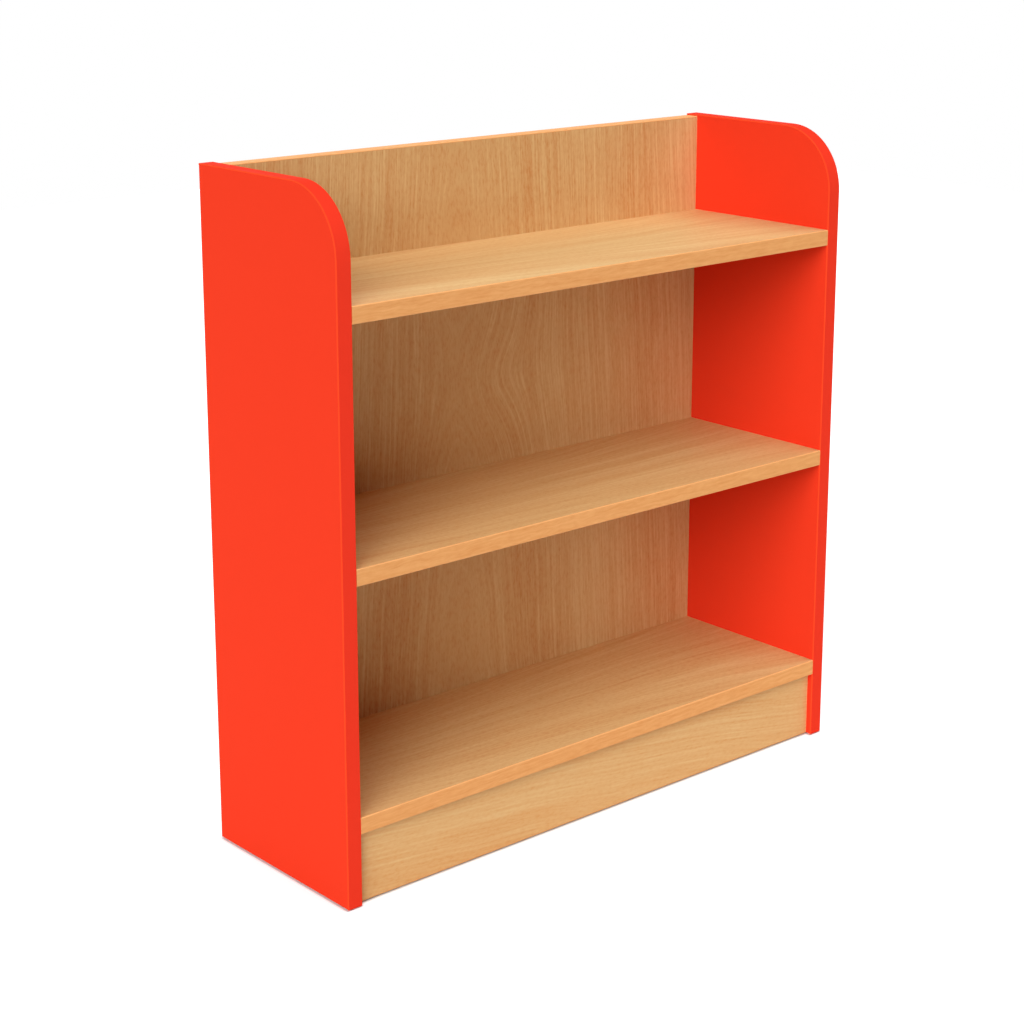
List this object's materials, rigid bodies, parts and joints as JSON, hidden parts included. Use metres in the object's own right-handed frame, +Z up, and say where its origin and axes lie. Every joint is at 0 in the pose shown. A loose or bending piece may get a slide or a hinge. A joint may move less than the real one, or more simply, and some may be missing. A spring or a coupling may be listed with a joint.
{
  "type": "single-sided library shelving",
  "caption": "Low single-sided bookcase for a library or classroom: red ends with round top front corners, fixed beech-effect shelves, a full back and a set-back plinth.",
  "frame": {"origin": "centre of the footprint, on the floor that the glides stand on", "axes": "+X to the right seen from the front, +Y to the back, +Z up; the open front faces -Y"},
  "size_m": [1, 0.32, 1.025],
  "materials": {
    "red_board": "satin",
    "red_edge_band": "satin",
    "beech_board": "satin",
    "beech_edge_band": "satin",
    "beech_plastic": "satin",
    "cam_zinc": "satin",
    "fastener_steel": "satin",
    "dowel_beech": "matte",
    "glide_nylon": "satin"
  },
  "bodies": {
    "root": {"left_end_panel": "red_board", "right_end_panel": "red_board", "back_panel": "beech_board", "top_shelf": "beech_board", "middle_shelf": "beech_board", "bottom_shelf": "beech_board", "plinth": "beech_board", "left_end_front_band": "red_edge_band", "right_end_front_band": "red_edge_band", "left_end_rear_band": "red_edge_band", "right_end_rear_band": "red_edge_band", "left_end_bottom_band": "red_edge_band", "right_end_bottom_band": "red_edge_band", "back_panel_top_band": "beech_edge_band", "back_panel_bottom_band": "beech_edge_band", "top_shelf_band": "beech_edge_band", "middle_shelf_band": "beech_edge_band", "bottom_shelf_band": "beech_edge_band", "plinth_band": "beech_edge_band", "top_shelf_cams": "cam_zinc", "middle_shelf_cams": "cam_zinc", "bottom_shelf_cams": "cam_zinc", "back_panel_cams": "cam_zinc", "plinth_cams": "cam_zinc", "top_shelf_bolts": "fastener_steel", "middle_shelf_bolts": "fastener_steel", "bottom_shelf_bolts": "fastener_steel", "back_panel_bolts": "fastener_steel", "plinth_bolts": "fastener_steel", "top_shelf_dowels": "dowel_beech", "middle_shelf_dowels": "dowel_beech", "bottom_shelf_dowels": "dowel_beech", "back_panel_dowels": "dowel_beech", "plinth_end_dowels": "dowel_beech", "plinth_top_dowels": "dowel_beech", "top_shelf_cam_caps": "beech_plastic", "middle_shelf_cam_caps": "beech_plastic", "top_shelf_screws": "fastener_steel", "middle_shelf_screws": "fastener_steel", "bottom_shelf_screws": "fastener_steel", "screw_plugs": "beech_plastic", "left_glides": "glide_nylon", "right_glides": "glide_nylon", "left_glide_nails": "fastener_steel", "right_glide_nails": "fastener_steel"}
  },
  "joints": []
}
